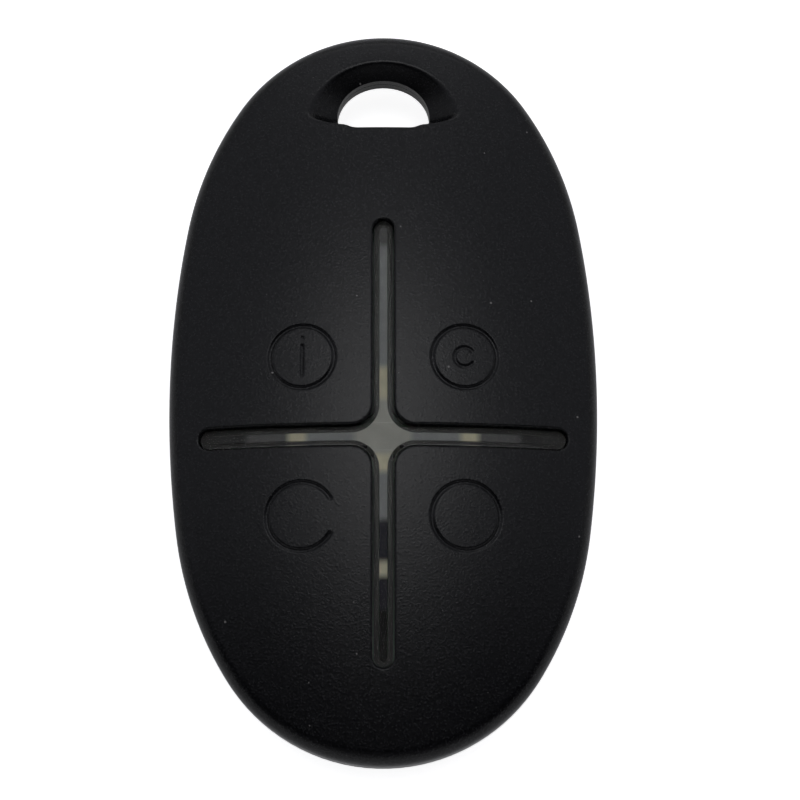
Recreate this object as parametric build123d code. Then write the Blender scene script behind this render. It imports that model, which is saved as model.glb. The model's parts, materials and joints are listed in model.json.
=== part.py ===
from build123d import *
import math
import os

# An alarm key fob in millimetres. It lies on its back with its face towards +Z and the
# keyring hole towards +Y. The origin is the bottom centre of its box.

# Overall size and the egg-shaped outline, which is made of tangent arcs
length = 65.0
width = 36.7
widest_y = -0.8
top_end_share = 0.823
bottom_end_share = 0.8447
top_sweeps = (9.3, 32.87)
bottom_sweeps = (7.75, 32.2)

# Domes of the face and of the back: how far each falls to its sides and end, and where it is highest
face_above_board = 3.7
face_side_drop = 3.02
face_end_drop = 4.26
face_apex_y = -3.0
back_side_drop = 2.45
back_end_drop = 2.66
back_apex_y = 0.0
back_flat_depth = 0.25
rim_radius = 1.7
back_rim_radius = 1.6

# Walls, the joint between the covers, and the overrun that serves every cut
end_wall = 1.34
face_wall = 1.0
back_wall = 1.0
side_wall = 1.3
lap_height = 0.8
lap_gap = 0.05
skirt_wall = 0.65
overrun = 2.0

# Keyring hole: a D with a flat lower edge, a web where the covers meet, and a scoop
hole_from_end = 9.75
hole_half_width = 4.1
hole_corner = 1.85
hole_arch = 3.55
web_front = 0.8
web_back = 0.9
scoop_side_slope = 1.31
scoop_top_slope = 1.06
scoop_height = 3.2
scoop_dip = 0.5
scoop_low = 1.7
scoop_rim_half = 6.6
scoop_rim_above = 4.9

# The cross: its centre, arms, slot, light guide and the shelf below it
arm_side_room = 2.79
arm_top_room = 8.88
arm_low_room = 7.83
slot_half = 0.92
slot_corner = 1.8
slot_edge = 0.18
guide_gap = 0.14
guide_recess = 0.25
guide_cap = 0.7
stem_half = 0.34
stem_short = 0.9
carrier_channel_gap = 0.04
carrier_seat_gap = 0.02

# Keys: four flexing quarters of the face, each turning about a line outside its arms
hinge_beyond_tips = 1.6
key_seam = 0.06
key_room = 0.45
post_radius = 0.7
post_lever = 6.7
post_gap = 0.05

# Key marks: a ring on each key, and what the rings hold
mark_x = 6.86
mark_y = 6.8
mark_radius = 2.72
mark_groove = 0.23
open_ring_half_gap = 32.0
inner_ring_radius = 0.72
inner_ring_half_gap = 40.0
bar_half_length = 1.25
bar_drop = 0.28
bar_groove = 0.16
dot_rise = 1.72
dot_groove = 0.14

# Coin cell of the 2032 size and its contacts
cell_y = -4.3
cell_above_wall = 1.05
cell_radius = 10.0
cell_height = 3.2
cell_sheet = 0.25
cell_cap_radius = 8.9
cell_crimp = 0.35
cell_room = 0.1
strap_sheet = 0.25
strap_width = 6.0
strap_gap = 0.05
strap_foot = 1.3
contact_sheet = 0.12
contact_arm = 3.4
contact_half = 1.1
contact_pip = 0.9
well_gap = 0.3
well_wall = 0.8
well_height = 2.2

# Circuit board and how the covers hold it
board_under = 0.25
board_sheet = 0.8
board_inset = 5.0
board_screw_room = 3.5
post_end_room = 3.4
post_track_gap = 0.1
post_edge_gap = 0.08
board_post_radius = 1.3
board_pin_radius = 0.55
board_pin_gap = 0.08

# Two self-tapping screws, sunk in the back
screw_hole_room = 3.35
screw_end_room = 4.3
screw_radius = 1.0
screw_head_radius = 1.8
screw_head = 0.9
screw_sunk = 0.35
screw_shank = 3.6
screw_gap = 0.03
screw_head_gap = 0.15
screw_boss = 1.9
screw_back_boss = 2.8
recess_arm = 1.0
recess_half = 0.2
recess_depth = 0.5

# Key switches: moulded base, steel cover plate and plunger
switch_x = 3.6
switch_y = 3.0
switch_base = 0.6
switch_floor = 0.1
switch_pocket = 0.9
switch_plate = 0.1
switch_plate_x = 3.2
switch_plate_y = 2.6
plunger_radius = 0.8
plunger_gap = 0.06
plunger_rest = 0.4
plunger_top = 0.9

# Lamps below the guide
led_x = 1.6
led_y = 0.68
led_base = 0.25
led_lens = 0.25
led_lens_x = 1.1
led_side_reach = 7.6
led_top_reach = 14.4
led_low_reach = 6.0
led_gap = 0.1

# Radio and small parts on the board
chip_size = 5.0
chip_height = 0.9
chip_x = 5.2
chip_edge_room = 7.1
crystal_x = 3.2
crystal_y = 2.5
crystal_height = 0.7
crystal_place_x = -4.6
antenna_sheet = 0.1
antenna_width = 0.8
antenna_inset = 5.5
antenna_run = 8.4
antenna_edge_room = 1.3
small_x = 1.0
small_y = 0.5
small_height = 0.35
small_pitch = 1.5
capacitor_columns = 4
resistor_columns = 3
capacitor_edge_room = 7.0
resistor_edge_room = 2.9

quadrants = {"upper_left": (-1, 1), "upper_right": (1, 1), "lower_left": (-1, -1), "lower_right": (1, -1)}

# Heights worked out from the sizes above
cell_bottom = back_wall + cell_above_wall
board_bottom = cell_bottom + cell_height + board_under
board_top = board_bottom + board_sheet
height = board_top + face_above_board
parting_z = height - face_end_drop - end_wall
guide_half = slot_half - guide_gap
stem_bottom = board_top + led_base + led_lens + led_gap

# Places worked out from the sizes above
half_length = length / 2
hole_y = half_length - hole_from_end
hole_middle = hole_y + hole_corner
screw_top_y = hole_y - screw_hole_room
screw_low_y = screw_end_room - half_length
board_top_y = screw_top_y - board_screw_room
board_bottom_y = screw_low_y + board_screw_room
arm_top = hole_y - arm_top_room
arm_low = arm_low_room - half_length
arm_x = width / 2 - arm_side_room
arm_y = (arm_top - arm_low) / 2
cross_y = (arm_top + arm_low) / 2
chip_y = board_bottom_y + chip_edge_room
antenna_end_y = board_top_y - antenna_edge_room
capacitor_row_y = board_top_y - capacitor_edge_room
resistor_row_y = board_bottom_y + resistor_edge_room

# The turning lines of the keys
arm_span = math.hypot(arm_x, arm_y)
hinge_nx = arm_y / arm_span
hinge_ny = arm_x / arm_span
hinge_reach = arm_x * hinge_nx + hinge_beyond_tips
screw_places = [(0, screw_top_y), (0, screw_low_y)]


def dome_radius(half, drop):
    """Radius of the arc that falls by drop at half a chord from its top."""
    return (half**2 + drop**2) / (2 * drop)


face_across = dome_radius(width / 2, face_side_drop)
face_along = dome_radius(half_length - face_apex_y, face_end_drop)
back_across = dome_radius(width / 2, back_side_drop)
back_along = dome_radius(half_length - back_apex_y, back_end_drop)


def arc_between(centre, radius, start, end):
    """The arc about centre from one angle to another, in degrees."""
    at = [math.radians(a) for a in (start, (start + end) / 2, end)]
    points = [(centre[0] + radius * math.cos(a), centre[1] + radius * math.sin(a)) for a in at]
    return ThreePointArc(*points)


def half_outline(end_share, sweeps, side):
    """Arcs of the right half of one end, as (centre, radius, start, end); side is 1 up, -1 down.

    The end's radius is a share of half the width, and the other two radii close the outline.
    """
    reach = half_length - side * widest_y
    end_radius = end_share * width / 2
    low, high = [math.radians(a) for a in sweeps]
    across = (1 - math.cos(low), math.cos(low) - math.cos(high))
    along = (math.sin(low), math.sin(high) - math.sin(low))
    left_x = width / 2 - end_radius * math.cos(high)
    left_y = reach - end_radius * (1 - math.sin(high))
    scale = across[0] * along[1] - across[1] * along[0]
    side_radius = (left_x * along[1] - across[1] * left_y) / scale
    shoulder_radius = (across[0] * left_y - along[0] * left_x) / scale
    side_centre = (width / 2 - side_radius, widest_y)
    step = side_radius - shoulder_radius
    shoulder_centre = (side_centre[0] + step * math.cos(low), widest_y + side * step * math.sin(low))
    end_centre = (0.0, widest_y + side * (reach - end_radius))
    return [(side_centre, side_radius, 0.0, side * sweeps[0]),
            (shoulder_centre, shoulder_radius, side * sweeps[0], side * sweeps[1]),
            (end_centre, end_radius, side * sweeps[1], side * 90.0)]


upper_outline = half_outline(top_end_share, top_sweeps, 1)
lower_outline = half_outline(bottom_end_share, bottom_sweeps, -1)


def outline_x(y, inset):
    """Half the width of the outline, moved inwards by inset, at a place along it."""
    reaches = []
    for (cx, cy), radius, start, end in upper_outline if y > widest_y else lower_outline:
        near = radius - inset
        lean = math.degrees(math.asin(max(-1, min(1, (y - cy) / near))))
        if min(start, end) <= lean <= max(start, end):
            reaches.append(cx + near * math.cos(math.radians(lean)))
    return min(reaches)


def oval(inset):
    """The fob's outline, moved inwards by inset."""
    right = [arc_between(c, r - inset, a, b) for c, r, a, b in upper_outline]
    right += [arc_between(c, r - inset, a, b) for c, r, a, b in lower_outline]
    left = [arc.mirror(Plane.YZ) for arc in right]
    return make_face(Curve() + right + left)


def board_posts():
    """Places of the four posts that hold the board: two inside the antenna's track, two at its edge."""
    track_inset = antenna_inset + antenna_width + post_track_gap
    edge_inset = board_inset + post_edge_gap
    rows = [(board_top_y - post_end_room, track_inset), (board_bottom_y + post_end_room, edge_inset)]
    reaches = [(outline_x(y, inset + board_post_radius), y) for y, inset in rows]
    return [(side * x, y) for side in (-1, 1) for x, y in reaches]


def between(sketch, low, high):
    """A sketch extruded from one height to another."""
    return Pos(0, 0, low) * extrude(sketch, high - low)


def dome(apex_z, apex_y, across, along, inset, side):
    """A block whose curved face has the radii across and along; side 1 bulges up, -1 down."""
    plane = Plane.YZ
    depth = height + overrun
    disc = Pos(apex_y, apex_z - side * along) * Circle(along - inset)
    window = Pos(0, apex_z - side * depth / 2) * Rectangle(length + 2 * overrun, 2 * depth)
    axis = Axis((0, apex_y, apex_z - side * across), (0, 1, 0))
    half_turn = math.degrees(math.asin((width / 2 + overrun) / across))
    profile = (plane * (disc & window)).rotate(axis, -half_turn)
    return revolve(profile, axis, 2 * half_turn)


def face_dome(inset):
    return dome(height, face_apex_y, face_across, face_along, inset, 1)


def back_dome(inset):
    return dome(-back_flat_depth, back_apex_y, back_across, back_along, inset, -1)


def egg(rise):
    """The scoop's outline at a height above the web of the keyring hole."""
    a = hole_half_width + scoop_side_slope * rise
    top = EllipticalCenterArc((0, hole_middle), a, hole_arch + scoop_top_slope * rise, 0, arc_size=180)
    low = EllipticalCenterArc((0, hole_middle), a, scoop_low, 180, arc_size=180)
    return make_face(Curve() + [top, low])


def hole_outline():
    """The D-shaped hole between the covers."""
    flat = hole_half_width - hole_corner
    top = EllipticalCenterArc((0, hole_middle), hole_half_width, hole_arch, 0, arc_size=180)
    left = arc_between((-flat, hole_middle), hole_corner, 180, 270)
    base = Line((-flat, hole_y), (flat, hole_y))
    right = arc_between((flat, hole_middle), hole_corner, 270, 360)
    return make_face(Curve() + [top, left, base, right])


def scoop(start_z, side):
    """The dish that opens the hole towards one side."""
    small = Pos(0, 0, start_z - side * scoop_dip) * egg(-scoop_dip)
    large = Pos(0, 0, start_z + side * scoop_height) * egg(scoop_height)
    sections = [small, large] if side > 0 else [large, small]
    return loft(sections, ruled=True)


def hole_block():
    """The material kept round the hole, in plan."""
    keep = Pos(0, hole_middle) * Ellipse(scoop_rim_half + side_wall, scoop_rim_above + side_wall)
    beyond = Pos(0, half_length + hole_middle) * Rectangle(width, length)
    return keep + beyond


def arms(half, tip_gap):
    """The two arms of the cross in plan, with round ends that stop short of its tips."""
    across = SlotOverall(2 * (arm_x - tip_gap), 2 * half)
    return Pos(0, cross_y) * (across + SlotOverall(2 * (arm_y - tip_gap), 2 * half, rotation=90))


def cross(half, corner):
    """The cross in plan, with round ends and hollow corners."""
    plain = arms(half, slot_half - half)
    inner = plain.vertices().filter_by(lambda v: max(abs(v.X), abs(v.Y - cross_y)) < 2 * half)
    return fillet(inner, corner)


def key_triangle(sx, sy, grow):
    """One quarter inside its hinge line, in plan, with its sides moved out by grow."""
    edge = slot_half - grow
    reach = hinge_reach + grow
    far_x = (reach - edge * hinge_ny) / hinge_nx
    far_y = (reach - edge * hinge_nx) / hinge_ny
    corners = [(edge, edge), (far_x, edge), (edge, far_y)]
    placed = [(sx * x, cross_y + sy * y) for x, y in corners]
    return make_face(Polyline(*placed, close=True))


def key_openings():
    """All that the face gives up to the keys and the cross, in plan."""
    plan = cross(slot_half, slot_corner)
    for sx, sy in quadrants.values():
        plan += key_triangle(sx, sy, key_seam)
    return plan


def ring_groove(radius, groove, half_gap):
    """A round-bottomed ring about the origin, open towards +X by half_gap each way."""
    start = Pos(radius, 0, 0) * Rotation(90, 0, 0) * Circle(groove)
    turn = revolve(start.rotate(Axis.Z, half_gap), Axis.Z, 360.0 - 2 * half_gap)
    if half_gap:
        for angle in (half_gap, -half_gap):
            a = math.radians(angle)
            turn += Pos(radius * math.cos(a), radius * math.sin(a), 0) * Sphere(groove)
    return turn


def face_height(x, y):
    """Height of the face above the origin's plane."""
    barrel = (face_across - face_along) + math.sqrt(face_along**2 - (y - face_apex_y) ** 2)
    return height - face_across + math.sqrt(barrel**2 - x**2)


def on_face(x, y):
    """The place and lean of the face at a point."""
    barrel = (face_across - face_along) + math.sqrt(face_along**2 - (y - face_apex_y) ** 2)
    lean_x = math.degrees(math.asin(x / barrel))
    lean_y = math.degrees(math.asin((y - face_apex_y) / face_along))
    return Pos(x, y, face_height(x, y)) * Rotation(-lean_y, lean_x, 0)


def key_mark(name):
    """The grooves pressed into one key."""
    sx, sy = quadrants[name]
    place = on_face(sx * mark_x, cross_y + sy * mark_y)
    half_gap = open_ring_half_gap if name == "lower_left" else 0
    mark = ring_groove(mark_radius, mark_groove, half_gap)
    if name == "upper_right":
        mark += ring_groove(inner_ring_radius, mark_groove, inner_ring_half_gap)
    if name == "upper_left":
        mark += Pos(0, -bar_drop, 0) * Rotation(90, 0, 0) * Cylinder(bar_groove, 2 * bar_half_length)
        for end in (-1, 1):
            mark += Pos(0, end * bar_half_length - bar_drop, 0) * Sphere(bar_groove)
        mark += Pos(0, dot_rise, 0) * Sphere(dot_groove)
    return place * mark


def face_skin():
    """The front cover and its keys as moulded, before they are told apart."""
    body = between(oval(0), parting_z, height + overrun) & face_dome(0)
    rim = body.faces().sort_by(Axis.Z)[-1].edges()
    body = fillet(rim, rim_radius)
    body -= scoop(parting_z + web_front, 1)
    body -= between(hole_outline(), parting_z - overrun, height + overrun)
    body -= between(cross(slot_half, slot_corner), parting_z - overrun, height + overrun)
    slot_edges = body.edges().filter_by(lambda e: on_slot_edge(e))
    body = fillet(slot_edges, slot_edge)
    for name in quadrants:
        body -= key_mark(name)
    return body


def on_slot_edge(edge):
    """Whether an edge is the upper edge of the cross slot."""
    middle = edge @ 0.5
    ends = [edge @ 0, middle, edge @ 1]
    if any(abs(p.Z - face_height(p.X, p.Y)) > lap_gap for p in ends):
        return False
    inside_x = abs(middle.X) < arm_x + lap_gap
    inside_y = abs(middle.Y - cross_y) < arm_y + lap_gap
    near = slot_half + slot_corner + lap_gap
    return inside_x and inside_y and min(abs(middle.X), abs(middle.Y - cross_y)) < near


def cavity():
    """The hollow of the front cover."""
    plan = oval(side_wall) - hole_block()
    return between(plan, parting_z - overrun, height) & face_dome(face_wall)


def key_space():
    """The openings down to just below the keys, with room for them to swing."""
    block = between(key_openings(), parting_z, height + overrun)
    return block - face_dome(face_wall + key_room)


def front_cover(skin):
    ring = oval(skirt_wall) - oval(side_wall + lap_gap)
    cover = skin - between(ring, parting_z - overrun, parting_z + lap_height + lap_gap)
    cover -= cavity()
    inner = face_dome(face_wall / 2)
    for x, y in screw_places:
        cover += between(Pos(x, y) * Circle(screw_boss), parting_z, height) & inner
    for x, y in board_posts():
        cover += between(Pos(x, y) * Circle(board_post_radius), board_top, height) & inner
        cover += between(Pos(x, y) * Circle(board_pin_radius), board_bottom, board_top)
    cover -= key_space()
    for x, y in screw_places:
        tip = screw_seat(y) + screw_shank + screw_gap
        cover -= between(Pos(x, y) * Circle(screw_radius + screw_gap), parting_z - overrun, tip)
    return cover


def key(name, skin):
    """A quarter of the face with the post that works its switch."""
    sx, sy = quadrants[name]
    quarter = skin & between(key_triangle(sx, sy, 0), parting_z, height + overrun)
    plate = quarter - face_dome(face_wall)
    tip = board_top + plunger_top + post_gap
    px = sx * (hinge_reach - post_lever) * hinge_nx
    py = cross_y + sy * (hinge_reach - post_lever) * hinge_ny
    shaft = Pos(px, py) * Circle(post_radius)
    post = between(shaft, tip + post_radius / 2, height) & face_dome(face_wall / 2)
    ball = Pos(px, py, tip + post_radius) * Sphere(post_radius)
    return plate + post + (ball & between(shaft, tip, tip + post_radius))


def light_guide():
    """A clear cross: a cap in the slot and a thin stem that reaches down to the lamps."""
    cap_plan = cross(guide_half, slot_corner + guide_gap)
    cap_low = face_dome(guide_recess + guide_cap)
    cap = (between(cap_plan, parting_z, height) & face_dome(guide_recess)) - cap_low
    stem = between(arms(stem_half, stem_short), stem_bottom, height)
    stem &= face_dome(guide_recess + guide_cap / 2)
    return cap + stem


def guide_carrier():
    """The dark channel that holds the guide above the board."""
    channel = arms(stem_half + carrier_channel_gap, stem_short - carrier_channel_gap)
    block = between(arms(guide_half, guide_gap) - channel, board_top, height)
    return block & face_dome(guide_recess + guide_cap + carrier_seat_gap)


def between_rims(z):
    """Whether a height lies clear of the flat of the back and of the joint between the covers."""
    return lap_gap < z < parting_z - lap_gap


def back_cover():
    body = between(oval(0), 0, parting_z) & back_dome(0)
    rim = body.edges().filter_by(lambda e: between_rims((e @ 0.5).Z))
    body = fillet(rim, back_rim_radius)
    body -= scoop(parting_z - web_back, -1)
    body -= between(hole_outline(), -overrun, parting_z + overrun)
    hollow = between(oval(side_wall) - hole_block(), back_wall, parting_z + overrun)
    body -= hollow & back_dome(back_wall)
    lip = oval(skirt_wall + lap_gap) - oval(side_wall - lap_gap)
    body += between(lip, parting_z - lap_height, parting_z + lap_height)
    inner = back_dome(back_wall / 2)
    for x, y in screw_places:
        body += between(Pos(x, y) * Circle(screw_back_boss), back_wall / 2, parting_z) & inner
    for x, y in board_posts():
        post = between(Pos(x, y) * Circle(board_post_radius), back_wall / 2, board_bottom) & inner
        pin_room = Pos(x, y) * Circle(board_pin_radius + board_pin_gap)
        body += post - between(pin_room, parting_z, board_bottom + overrun)
    well_radius = cell_radius + well_gap
    well = Pos(0, cell_y) * (Circle(well_radius + well_wall) - Circle(well_radius))
    well -= Pos(0, cell_y) * Rectangle(width, strap_width + 2 * well_gap)
    body += between(well, back_wall / 2, cell_bottom + well_height) & inner
    for x, y in screw_places:
        body -= between(Pos(x, y) * Circle(screw_head_radius + screw_head_gap), -overrun, screw_seat(y))
        body -= between(Pos(x, y) * Circle(screw_radius + screw_gap), -overrun, parting_z + overrun)
    return body


def screw_seat(y):
    """Height of the seat under a screw's head, which lies below the back's surface."""
    surface = back_along - back_flat_depth - math.sqrt(back_along**2 - (y - back_apex_y) ** 2)
    return surface + screw_sunk + screw_head


def case_screws():
    screws = []
    for x, y in screw_places:
        seat = screw_seat(y)
        low = seat - screw_head
        head = between(Pos(x, y) * Circle(screw_head_radius), low, seat)
        shank = between(Pos(x, y) * Circle(screw_radius), seat, seat + screw_shank)
        recess = Rectangle(2 * recess_arm, 2 * recess_half) + Rectangle(2 * recess_half, 2 * recess_arm)
        cut = between(Pos(x, y) * recess, low - overrun, low + recess_depth)
        screws.append(head + shank - cut)
    return screws


def circuit_board():
    window_height = board_top_y - board_bottom_y
    window = Pos(0, (board_top_y + board_bottom_y) / 2) * Rectangle(width, window_height)
    plan = oval(board_inset) & window
    for x, y in board_posts():
        plan -= Pos(x, y) * Circle(board_pin_radius + board_pin_gap)
    return between(plan, board_bottom, board_top)


def switch_place(name):
    sx, sy = quadrants[name]
    reach = hinge_reach - post_lever
    return Pos(sx * reach * hinge_nx, cross_y + sy * reach * hinge_ny)


def switch_parts(name):
    """Base, cover plate and plunger of one key switch."""
    place = switch_place(name)
    base = between(place * Rectangle(switch_x, switch_y), board_top, board_top + switch_base)
    base -= between(place * Circle(switch_pocket), board_top + switch_floor, board_top + switch_base)
    plate_plan = Rectangle(switch_plate_x, switch_plate_y) - Circle(plunger_radius + plunger_gap)
    plate_low = board_top + switch_base
    plate = between(place * plate_plan, plate_low, plate_low + switch_plate)
    plunger = between(place * Circle(plunger_radius), board_top + plunger_rest, board_top + plunger_top)
    return base, plate, plunger


def coin_cell():
    """Can, sealing ring, cap and core of the cell, with the can's flat side down."""
    centre = (0, cell_y)
    low = cell_bottom
    top = cell_bottom + cell_height
    can = between(Pos(*centre) * Circle(cell_radius), low, top - cell_crimp)
    inner_radius = cell_radius - cell_sheet
    can -= between(Pos(*centre) * Circle(inner_radius), low + cell_sheet, top)
    cap_inner = cell_cap_radius - cell_sheet
    seat = low + cell_sheet
    cap = between(Pos(*centre) * Circle(cell_cap_radius), seat + cell_room, top)
    cap -= between(Pos(*centre) * Circle(cap_inner), seat, top - cell_sheet)
    ring_radius = cell_cap_radius + cell_room / 2
    ring = Pos(*centre) * (Circle(inner_radius) - Circle(ring_radius))
    gasket = between(ring, seat, top - cell_crimp + cell_room)
    core = between(Pos(*centre) * Circle(cap_inner - cell_room), seat, top - cell_sheet - cell_room)
    return {"battery_can": can, "battery_cap": cap, "battery_gasket": gasket, "battery_core": core}


def battery_clip():
    """The bent strap that holds the cell to the board and takes its positive side."""
    inner = cell_radius + cell_room
    outer = inner + strap_sheet
    low = cell_bottom - strap_gap - strap_sheet
    rest = Rectangle(2 * outer, strap_width)
    strap = between(Pos(0, cell_y) * rest, low, low + strap_sheet)
    for side in (-1, 1):
        leg_x = side * (inner + strap_sheet / 2)
        strap += between(Pos(leg_x, cell_y) * Rectangle(strap_sheet, strap_width), low, board_bottom)
        foot_x = side * (inner + strap_foot / 2)
        foot = Pos(foot_x, cell_y) * Rectangle(strap_foot, strap_width)
        strap += between(foot, board_bottom - strap_sheet, board_bottom)
    return strap


def negative_contact():
    """The plate under the board that touches the cell's cap."""
    plan = Rectangle(2 * contact_arm, 2 * contact_half) + Rectangle(2 * contact_half, 2 * contact_arm)
    plate = between(Pos(0, cell_y) * plan, board_bottom - contact_sheet, board_bottom)
    pip_low = cell_bottom + cell_height
    return plate + between(Pos(0, cell_y) * Circle(contact_pip), pip_low, board_bottom - contact_sheet)


def lamp_places():
    across = [(side * led_side_reach, cross_y, 0) for side in (-1, 1)]
    return across + [(0, cross_y + led_top_reach, 90), (0, cross_y - led_low_reach, 90)]


def lamps():
    """Bases and lenses of the lamps below the guide's arms."""
    bases = []
    lenses = []
    for x, y, turn in lamp_places():
        place = Pos(x, y) * Rotation(0, 0, turn)
        lens_low = board_top + led_base
        bases.append(between(place * Rectangle(led_x, led_y), board_top, lens_low))
        lenses.append(between(place * Rectangle(led_lens_x, led_y), lens_low, lens_low + led_lens))
    return bases, lenses


def antenna_track():
    """The copper loop that follows the board's upper edge."""
    plan = oval(antenna_inset) - oval(antenna_inset + antenna_width)
    plan &= Pos(0, antenna_end_y - antenna_run / 2) * Rectangle(width, antenna_run)
    span = Pos(0, antenna_end_y - antenna_width / 2) * Rectangle(width, antenna_width)
    plan += oval(antenna_inset) & span
    plan -= Pos(0, antenna_end_y) * Rectangle(2 * guide_half + 2 * antenna_width, 2 * antenna_run)
    return between(plan, board_top, board_top + antenna_sheet)


def chip_row(columns, row_y):
    """Two mirrored rows of small parts beside the upright arm."""
    blocks = []
    start = guide_half + small_pitch
    for side in (-1, 1):
        for column in range(columns):
            x = side * (start + column * small_pitch)
            block = Pos(x, row_y) * Rectangle(small_y, small_x)
            blocks.append(between(block, board_top, board_top + small_height))
    return blocks


def radio_chip():
    plan = Pos(chip_x, chip_y) * Rectangle(chip_size, chip_size)
    return between(plan, board_top, board_top + chip_height)


def crystal():
    plan = Pos(crystal_place_x, chip_y) * Rectangle(crystal_x, crystal_y)
    return between(plan, board_top, board_top + crystal_height)


def collect():
    """Every sub-part by its node's name."""
    skin = face_skin()
    nodes = {"front_cover": front_cover(skin), "back_cover": back_cover()}
    for name in quadrants:
        nodes["key_" + name] = key(name, skin)
        base, plate, plunger = switch_parts(name)
        nodes["switch_base_" + name] = base
        nodes["switch_plate_" + name] = plate
        nodes["switch_plunger_" + name] = plunger
    nodes["light_guide"] = light_guide()
    nodes["guide_carrier"] = guide_carrier()
    nodes["circuit_board"] = circuit_board()
    nodes.update(coin_cell())
    nodes["battery_clip"] = battery_clip()
    nodes["negative_contact"] = negative_contact()
    nodes["case_screws"] = case_screws()
    nodes["led_bases"], nodes["led_lenses"] = lamps()
    nodes["antenna_track"] = antenna_track()
    nodes["radio_chip"] = radio_chip()
    nodes["crystal"] = crystal()
    nodes["chip_capacitors"] = chip_row(capacitor_columns, capacitor_row_y)
    nodes["chip_resistors"] = chip_row(resistor_columns, resistor_row_y)
    return nodes


os.makedirs("parts", exist_ok=True)
for node, shape in collect().items():
    whole = Compound(children=shape) if isinstance(shape, list) else shape
    export_step(whole, f"parts/{node}.step")
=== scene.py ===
import math
import json

import bpy
import numpy as np
from mathutils import Matrix, Vector
from mathutils.geometry import delaunay_2d_cdt


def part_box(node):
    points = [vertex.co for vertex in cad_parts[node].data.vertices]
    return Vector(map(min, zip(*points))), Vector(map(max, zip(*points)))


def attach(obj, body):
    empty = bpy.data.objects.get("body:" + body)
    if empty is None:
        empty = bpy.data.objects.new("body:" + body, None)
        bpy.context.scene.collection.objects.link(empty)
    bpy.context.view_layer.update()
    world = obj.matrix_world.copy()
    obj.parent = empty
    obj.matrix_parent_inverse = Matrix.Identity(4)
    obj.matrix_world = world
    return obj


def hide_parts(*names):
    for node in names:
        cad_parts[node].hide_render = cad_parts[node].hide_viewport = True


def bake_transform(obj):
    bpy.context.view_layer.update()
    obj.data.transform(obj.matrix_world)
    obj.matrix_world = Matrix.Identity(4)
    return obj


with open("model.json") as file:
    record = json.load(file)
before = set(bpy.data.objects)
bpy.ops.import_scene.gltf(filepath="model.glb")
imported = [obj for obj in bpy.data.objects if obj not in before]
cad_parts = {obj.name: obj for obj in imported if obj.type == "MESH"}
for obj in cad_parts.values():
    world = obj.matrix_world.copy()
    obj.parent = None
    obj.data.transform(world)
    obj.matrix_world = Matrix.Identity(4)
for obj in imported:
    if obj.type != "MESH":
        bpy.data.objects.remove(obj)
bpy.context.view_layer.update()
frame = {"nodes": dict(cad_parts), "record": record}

bl_info = {
    "name": "Alarm key fob",
    "version": (1, 0, 0),
    "blender": (4, 5, 0),
    "location": "View3D > Sidebar > Key Fob",
    "description": "Dresses a domed alarm key fob with flexing keys and a clear light cross",
    "category": "Object",
}

MM = 0.001

# The case, in millimetres, with its size taken from the frame
case_low, case_high = [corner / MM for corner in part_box("front_cover")]
half_width = (case_high.x - case_low.x) / 2
half_length = (case_high.y - case_low.y) / 2
top_z = 10.0
parting_z = 4.4
widest_y = -0.8
top_end_share = 0.823
bottom_end_share = 0.8447
top_sweeps = (9.3, 32.87)
bottom_sweeps = (7.75, 32.2)
face_side_drop = 3.02
face_end_drop = 4.26
face_apex_y = -3.0
rim_radius = 1.7
face_wall = 1.0
side_wall = 1.3
skirt_wall = 0.65
lap_top = 5.25

# The keyring hole and its scoop, in millimetres
hole_y = half_length - 9.75
hole_half_width = 4.1
hole_corner = 1.85
hole_arch = 3.55
hole_middle = hole_y + hole_corner
web_z = parting_z + 0.8
scoop_side_slope = 1.31
scoop_top_slope = 1.06
scoop_low = 1.7
scoop_edge = 0.3
block_half = 7.9
block_arch = 6.2
lip_width = 0.3
lip_rise = 0.07
scoop_turns = (-62, 242)
scoop_count = 150
scoop_shares = (0.18, 0.36, 0.54, 0.7, 0.82, 0.9, 0.95, 1.0, 1.05, 1.1, 1.18)

# The cross and the lines that the keys flex about, in millimetres
arm_x = half_width - 2.79
arm_top = hole_y - 8.88
arm_low = 7.83 - half_length
arm_y = (arm_top - arm_low) / 2
cross_y = (arm_top + arm_low) / 2
slot_half = 0.92
slot_corner = 1.8
guide_gap = 0.14
guide_recess = 0.25
guide_cap = 0.7
guide_edge = 0.14
guide_steps = 4
guide_crown = 0.005
guide_flat_inset = 0.12
stem_half = 0.34
stem_bottom = 6.9
stem_sink = 0.01
stem_inset = 0.04
arm_span = math.hypot(arm_x, arm_y)
hinge_nx = arm_y / arm_span
hinge_ny = arm_x / arm_span
hinge_reach = arm_x * hinge_nx + 1.6

# The key posts, in millimetres
post_radius = 0.7
post_lever = 6.7
post_tip_z = 7.25
post_sink = 0.2
post_sides = 28

# Marks on the keys, in millimetres from the middle of the cross
mark_x = 6.86
mark_y = 6.8
mark_radius = 2.72
low_mark_radius = 2.84
open_ring_gap = 32.0
inner_ring_radius = 0.84
inner_ring_gap = 40.0
bar_half_length = 1.25
bar_drop = 0.28
dot_rise = 1.72

# How finely the face is divided, and how far its points keep clear of its edges, in millimetres or in steps
rim_pitch = 0.42
rim_steps = 9
slot_pitch = 0.22
slot_steps = 4
hole_pitch = 0.2
mark_pitch = 0.14
mark_reach = 1.05
mark_rows = 9
hinge_parts = 26
grid_pitch = 0.8
grid_gap = 0.35
clear_hole = 0.08
clear_hole_grid = 0.3
clear_slot = 0.1
clear_rim = 1.4

quadrants = {"upper_left": (-1, 1), "upper_right": (1, 1), "lower_left": (-1, -1), "lower_right": (1, -1)}


def dome_radius(half, drop):
    """Radius of the arc that falls by drop at half a chord from its top."""
    return (half**2 + drop**2) / (2 * drop)


face_across = dome_radius(half_width, face_side_drop)
face_along = dome_radius(half_length - face_apex_y, face_end_drop)


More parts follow.
